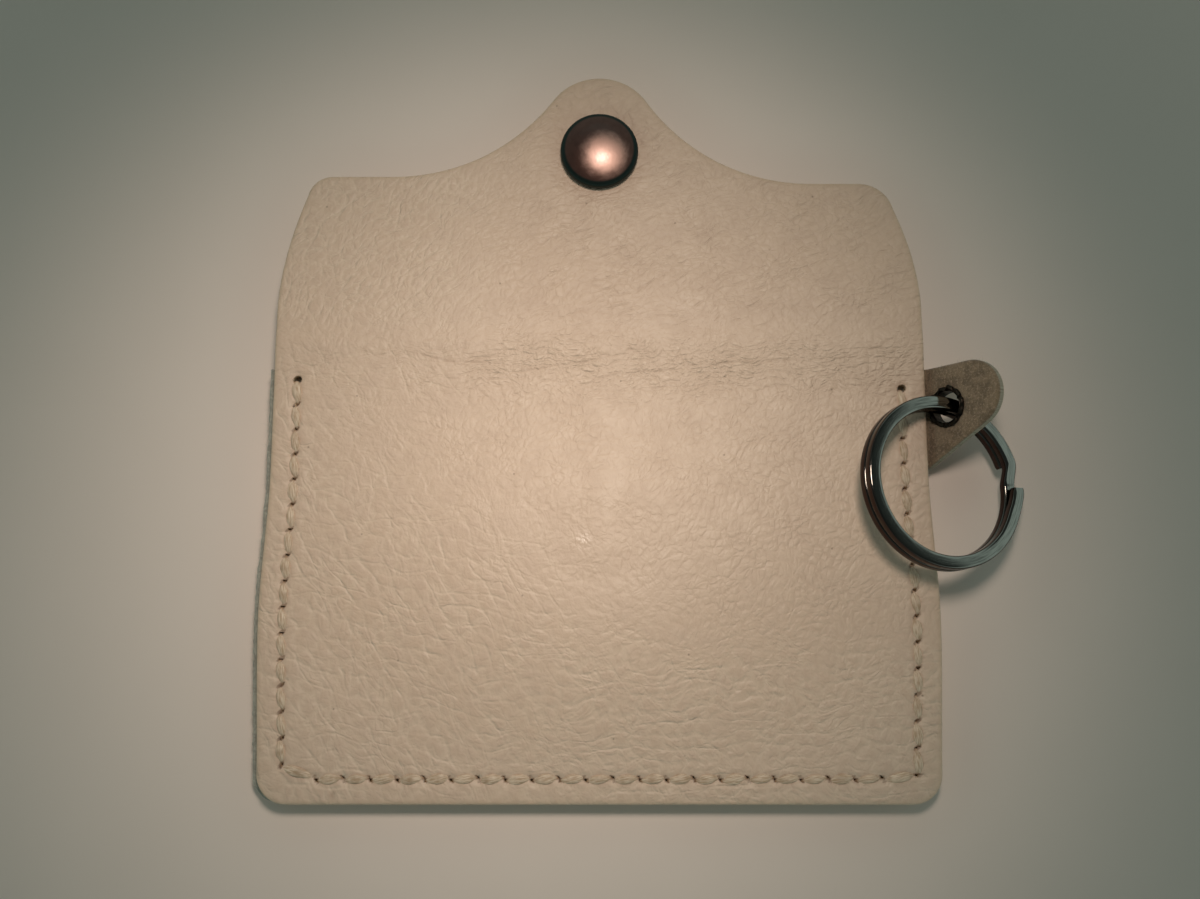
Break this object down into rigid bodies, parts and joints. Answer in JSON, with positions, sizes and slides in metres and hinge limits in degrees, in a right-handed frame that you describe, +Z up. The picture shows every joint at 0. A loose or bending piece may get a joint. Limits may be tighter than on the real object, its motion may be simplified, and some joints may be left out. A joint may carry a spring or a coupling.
{
  "type": "keychain card wallet",
  "caption": "Saddle-stitched leather card sleeve, lying open: a pointed flap with a snap cap folds under and closes on a stud, and a raised side tab holds a split ring in its eyelet.",
  "frame": {"origin": "centre of the snap stud's foot, which stands on the table", "axes": "+Z up from the table to the wallet's back, +Y from the stud towards the flap's tip, +X towards the key tab"},
  "size_m": [0.1179, 0.115, 0.0139],
  "materials": {
    "ivory_leather": "pebbled full grain, waxed",
    "grey_brown_suede": "flesh side, matt",
    "cream_waxed_thread": "waxed",
    "black_nickel": "black nickel plate, polished",
    "ring_steel": "black nickel plate, polished",
    "spring_steel": "bright wire"
  },
  "bodies": {
    "wallet": {"back_panel": "ivory_leather", "front_panel": "ivory_leather", "snap_stud": "black_nickel", "stud_post": "black_nickel", "saddle_thread_a": "cream_waxed_thread", "saddle_thread_b": "cream_waxed_thread"},
    "spine": {"fold_spine": "ivory_leather"},
    "flap": {"flap": "ivory_leather", "snap_cap": "black_nickel", "cap_post": "black_nickel", "snap_socket": "black_nickel", "socket_spring": "spring_steel"},
    "tab": {"key_tab": "grey_brown_suede", "tab_eyelet": "black_nickel"},
    "ring": {"split_ring": "ring_steel"}
  },
  "joints": [
    {"name": "fold_low", "type": "hinge", "parent": "wallet", "child": "spine", "pos_m": [0, 0.02855, 0.00405], "axis": [-1, 0, 0], "range_deg": [0, 90]},
    {"name": "fold_high", "type": "hinge", "parent": "spine", "child": "flap", "pos_m": [0, 0.03495, 0.00405], "axis": [-1, 0, 0], "range_deg": [0, 90]},
    {"name": "tab_flex", "type": "hinge", "parent": "wallet", "child": "tab", "pos_m": [0.051, 0.0213, 0.00223], "axis": [0, -1, 0], "range_deg": [-50, 3]},
    {"name": "ring_swing", "type": "hinge", "parent": "tab", "child": "ring", "pos_m": [0.05407, 0.0213, 0.00609], "axis": [-0.9258, 0.2241, 0.3044], "range_deg": [0, 165]}
  ],
  "couplings": [
    {"joint": "fold_high", "follows": "fold_low", "ratio": 1}
  ]
}
